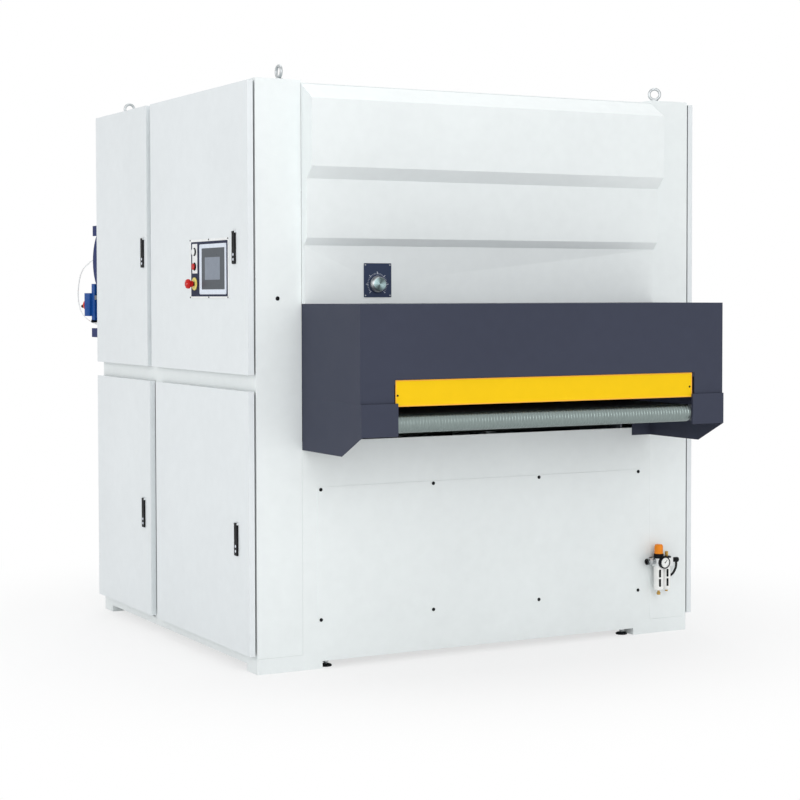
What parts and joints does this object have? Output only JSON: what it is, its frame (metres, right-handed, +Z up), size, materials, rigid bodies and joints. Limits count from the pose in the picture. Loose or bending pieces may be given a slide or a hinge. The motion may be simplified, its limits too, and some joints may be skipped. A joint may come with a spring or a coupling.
{
  "type": "sheet metal deburring machine",
  "caption": "Wide-belt deburring machine: closed cabinet with doors, hooded infeed, belt conveyor, and a lifting head with abrasive belt and brush roller.",
  "frame": {"origin": "on the floor, in the middle of the four floor anchors and of the cabinet's footprint", "axes": "+X to the right seen from the infeed, +Y along the feed from the infeed to the outfeed, +Z up"},
  "size_m": [2.0893, 2.7785, 2.285],
  "materials": {
    "cabinet_paint": "satin off-white powder coat",
    "door_paint": "satin off-white powder coat",
    "slate_paint": "satin slate-grey powder coat",
    "yellow_paint": "satin safety yellow",
    "zinc_steel": "zinc-plated steel",
    "black_steel": "blackened steel",
    "grey_steel": "satin grey paint",
    "roller_steel": "finely ribbed steel",
    "belt_rubber": "matt dark green rubber",
    "black_rubber": "matt black rubber",
    "aluminium": "turned aluminium",
    "abrasive_cloth": "coated abrasive cloth, brown",
    "brush_fibre": "abrasive nylon strips",
    "blue_paint": "satin blue enamel",
    "white_tube": "flexible tube",
    "grey_casting": "painted casting",
    "plate_aluminium": "plain plate with housings",
    "black_plastic": "fine grained",
    "white_plastic": "satin",
    "screen_plastic": "satin bezel",
    "red_plastic": "gloss",
    "orange_plastic": "satin"
  },
  "bodies": {
    "machine": {"base_frame": "cabinet_paint", "levelling_feet": "black_steel", "body_frame": "cabinet_paint", "lower_front_panel": "cabinet_paint", "access_panel": "cabinet_paint", "panel_screws": "black_steel", "upper_front_panel": "cabinet_paint", "roof_panel": "cabinet_paint", "rear_panel": "cabinet_paint", "eyebolts": "zinc_steel", "dust_spigots": "zinc_steel", "infeed_hood": "slate_paint", "hood_cheeks": "slate_paint", "conveyor_bed": "grey_steel", "conveyor_belt": "belt_rubber", "conveyor_gearmotor": "blue_paint", "lift_gearmotor": "grey_casting", "electrical_plate": "plate_aluminium", "door_hinges": "zinc_steel", "speed_dial": "slate_paint", "air_unit": "white_plastic", "air_hose": "black_rubber"},
    "head": {"head_frame": "grey_steel", "abrasive_belt": "abrasive_cloth", "main_motor": "blue_paint", "drive_belts": "black_rubber", "brake_unit": "blue_paint", "air_tube": "white_tube"},
    "guard_flap": {"guard_flap": "yellow_paint"},
    "infeed_roller": {"infeed_roller": "roller_steel"},
    "front_drum": {"front_drum": "roller_steel"},
    "rear_drum": {"rear_drum": "roller_steel"},
    "contact_roller": {"contact_roller": "black_rubber"},
    "tension_roller": {"tension_roller": "aluminium"},
    "brush_roller": {"brush_roller": "brush_fibre"},
    "front_pinch_roller": {"front_pinch_roller": "black_rubber"},
    "rear_pinch_roller": {"rear_pinch_roller": "black_rubber"},
    "motor_rotor": {"motor_rotor": "zinc_steel"},
    "left_lifting_screw": {"left_lifting_screw": "zinc_steel"},
    "right_lifting_screw": {"right_lifting_screw": "zinc_steel"},
    "start_button": {"start_button": "white_plastic"},
    "stop_button": {"stop_button": "red_plastic"},
    "estop_button": {"estop_button": "red_plastic"},
    "speed_knob": {"speed_knob": "zinc_steel"},
    "air_unit_knob": {"air_unit_knob": "orange_plastic"},
    "shutoff_sleeve": {"shutoff_sleeve": "zinc_steel"},
    "left_front_upper_door": {"left_front_upper_door": "door_paint", "control_panel": "white_plastic", "touch_screen": "screen_plastic"},
    "left_front_upper_handle": {"left_front_upper_handle": "black_plastic"},
    "left_rear_upper_door": {"left_rear_upper_door": "door_paint"},
    "left_rear_upper_handle": {"left_rear_upper_handle": "black_plastic"},
    "left_front_lower_door": {"left_front_lower_door": "door_paint"},
    "left_front_lower_handle": {"left_front_lower_handle": "black_plastic"},
    "left_rear_lower_door": {"left_rear_lower_door": "door_paint"},
    "left_rear_lower_handle": {"left_rear_lower_handle": "black_plastic"},
    "right_front_door": {"right_front_door": "door_paint"},
    "right_front_handle": {"right_front_handle": "black_plastic"},
    "right_rear_door": {"right_rear_door": "door_paint"},
    "right_rear_handle": {"right_rear_handle": "black_plastic"}
  },
  "joints": [
    {"name": "guard_swing", "type": "hinge", "parent": "machine", "child": "guard_flap", "pos_m": [0, -1.3155, 1.109], "axis": [1, 0, 0], "range_deg": [0, 60]},
    {"name": "infeed_roller_spin", "type": "hinge", "parent": "machine", "child": "infeed_roller", "pos_m": [0, -1.294, 0.9558], "axis": [-1, 0, 0], "continuous": true},
    {"name": "rear_drum_spin", "type": "hinge", "parent": "machine", "child": "rear_drum", "pos_m": [0, 0.78, 0.93], "axis": [-1, 0, 0], "continuous": true},
    {"name": "front_drum_spin", "type": "hinge", "parent": "machine", "child": "front_drum", "pos_m": [0, -0.77, 0.93], "axis": [-1, 0, 0], "continuous": true},
    {"name": "head_lift", "type": "slide", "parent": "machine", "child": "head", "axis": [0, 0, 1], "range_m": [0, 0.072]},
    {"name": "contact_roller_spin", "type": "hinge", "parent": "head", "child": "contact_roller", "pos_m": [0, -0.25, 1.0883], "axis": [1, 0, 0], "continuous": true},
    {"name": "tension_roller_spin", "type": "hinge", "parent": "head", "child": "tension_roller", "pos_m": [0, -0.25, 1.7553], "axis": [1, 0, 0], "continuous": true},
    {"name": "motor_spin", "type": "hinge", "parent": "head", "child": "motor_rotor", "pos_m": [-0.85, 1.0055, 1.579], "axis": [1, 0, 0], "continuous": true},
    {"name": "brush_roller_spin", "type": "hinge", "parent": "head", "child": "brush_roller", "pos_m": [0, 0.3, 1.148], "axis": [1, 0, 0], "continuous": true},
    {"name": "front_pinch_spin", "type": "hinge", "parent": "head", "child": "front_pinch_roller", "pos_m": [0, -0.54, 1.038], "axis": [1, 0, 0], "continuous": true},
    {"name": "rear_pinch_spin", "type": "hinge", "parent": "head", "child": "rear_pinch_roller", "pos_m": [0, 0.56, 1.038], "axis": [1, 0, 0], "continuous": true},
    {"name": "left_screw_turn", "type": "hinge", "parent": "machine", "child": "left_lifting_screw", "pos_m": [-0.78, 0, 0.8], "axis": [0, 0, 1], "range_deg": [0, 2600]},
    {"name": "right_screw_turn", "type": "hinge", "parent": "machine", "child": "right_lifting_screw", "pos_m": [0.78, 0, 0.8], "axis": [0, 0, 1], "range_deg": [0, 2600]},
    {"name": "left_front_upper_door_swing", "type": "hinge", "parent": "machine", "child": "left_front_upper_door", "pos_m": [-1.006, 0.152, 1], "axis": [0, 0, -1], "range_deg": [0, 110]},
    {"name": "left_rear_upper_door_swing", "type": "hinge", "parent": "machine", "child": "left_rear_upper_door", "pos_m": [-1.006, 0.8365, 1], "axis": [0, 0, -1], "range_deg": [0, 110]},
    {"name": "left_front_lower_door_swing", "type": "hinge", "parent": "machine", "child": "left_front_lower_door", "pos_m": [-1.006, 0.107, 1], "axis": [0, 0, -1], "range_deg": [0, 110]},
    {"name": "left_rear_lower_door_swing", "type": "hinge", "parent": "machine", "child": "left_rear_lower_door", "pos_m": [-1.006, 0.8365, 1], "axis": [0, 0, -1], "range_deg": [0, 110]},
    {"name": "right_front_door_swing", "type": "hinge", "parent": "machine", "child": "right_front_door", "pos_m": [1.006, 0.152, 1], "axis": [0, 0, 1], "range_deg": [0, 110]},
    {"name": "right_rear_door_swing", "type": "hinge", "parent": "machine", "child": "right_rear_door", "pos_m": [1.006, 0.8365, 1], "axis": [0, 0, 1], "range_deg": [0, 110]},
    {"name": "left_front_upper_handle_lift", "type": "hinge", "parent": "left_front_upper_door", "child": "left_front_upper_handle", "pos_m": [-1.0233, -0.721, 1.658], "axis": [0, 1, 0], "range_deg": [0, 40]},
    {"name": "left_rear_upper_handle_lift", "type": "hinge", "parent": "left_rear_upper_door", "child": "left_rear_upper_handle", "pos_m": [-1.0233, 0.255, 1.658], "axis": [0, 1, 0], "range_deg": [0, 40]},
    {"name": "left_front_lower_handle_lift", "type": "hinge", "parent": "left_front_lower_door", "child": "left_front_lower_handle", "pos_m": [-1.0233, -0.73, 0.558], "axis": [0, 1, 0], "range_deg": [0, 40]},
    {"name": "left_rear_lower_handle_lift", "type": "hinge", "parent": "left_rear_lower_door", "child": "left_rear_lower_handle", "pos_m": [-1.0233, 0.26, 0.558], "axis": [0, 1, 0], "range_deg": [0, 40]},
    {"name": "right_front_handle_lift", "type": "hinge", "parent": "right_front_door", "child": "right_front_handle", "pos_m": [1.0233, -0.721, 1.147], "axis": [0, -1, 0], "range_deg": [0, 40]},
    {"name": "right_rear_handle_lift", "type": "hinge", "parent": "right_rear_door", "child": "right_rear_handle", "pos_m": [1.0233, 0.255, 1.147], "axis": [0, -1, 0], "range_deg": [0, 40]},
    {"name": "start_press", "type": "slide", "parent": "left_front_upper_door", "child": "start_button", "axis": [1, 0, 0], "range_m": [0, 0.004], "stiffness_N_per_m": 600},
    {"name": "stop_press", "type": "slide", "parent": "left_front_upper_door", "child": "stop_button", "axis": [1, 0, 0], "range_m": [0, 0.004], "stiffness_N_per_m": 600},
    {"name": "estop_press", "type": "slide", "parent": "left_front_upper_door", "child": "estop_button", "axis": [1, 0, 0], "range_m": [0, 0.004], "stiffness_N_per_m": 900},
    {"name": "speed_knob_turn", "type": "hinge", "parent": "machine", "child": "speed_knob", "pos_m": [-0.494, -0.88, 1.46], "axis": [0, -1, 0], "range_deg": [-135, 135]},
    {"name": "regulator_turn", "type": "hinge", "parent": "machine", "child": "air_unit_knob", "pos_m": [0.82, -0.8875, 0.35], "axis": [0, 0, 1], "continuous": true},
    {"name": "shutoff_slide", "type": "slide", "parent": "machine", "child": "shutoff_sleeve", "axis": [1, 0, 0], "range_m": [0, 0.012]}
  ],
  "couplings": [
    {"joint": "front_drum_spin", "follows": "rear_drum_spin", "ratio": 1},
    {"joint": "tension_roller_spin", "follows": "contact_roller_spin", "ratio": 1},
    {"joint": "motor_spin", "follows": "contact_roller_spin", "ratio": 1},
    {"joint": "brush_roller_spin", "follows": "contact_roller_spin", "ratio": 0.5},
    {"joint": "left_screw_turn", "follows": "head_lift", "rad_per_m": 628.32},
    {"joint": "right_screw_turn", "follows": "head_lift", "rad_per_m": 628.32}
  ]
}
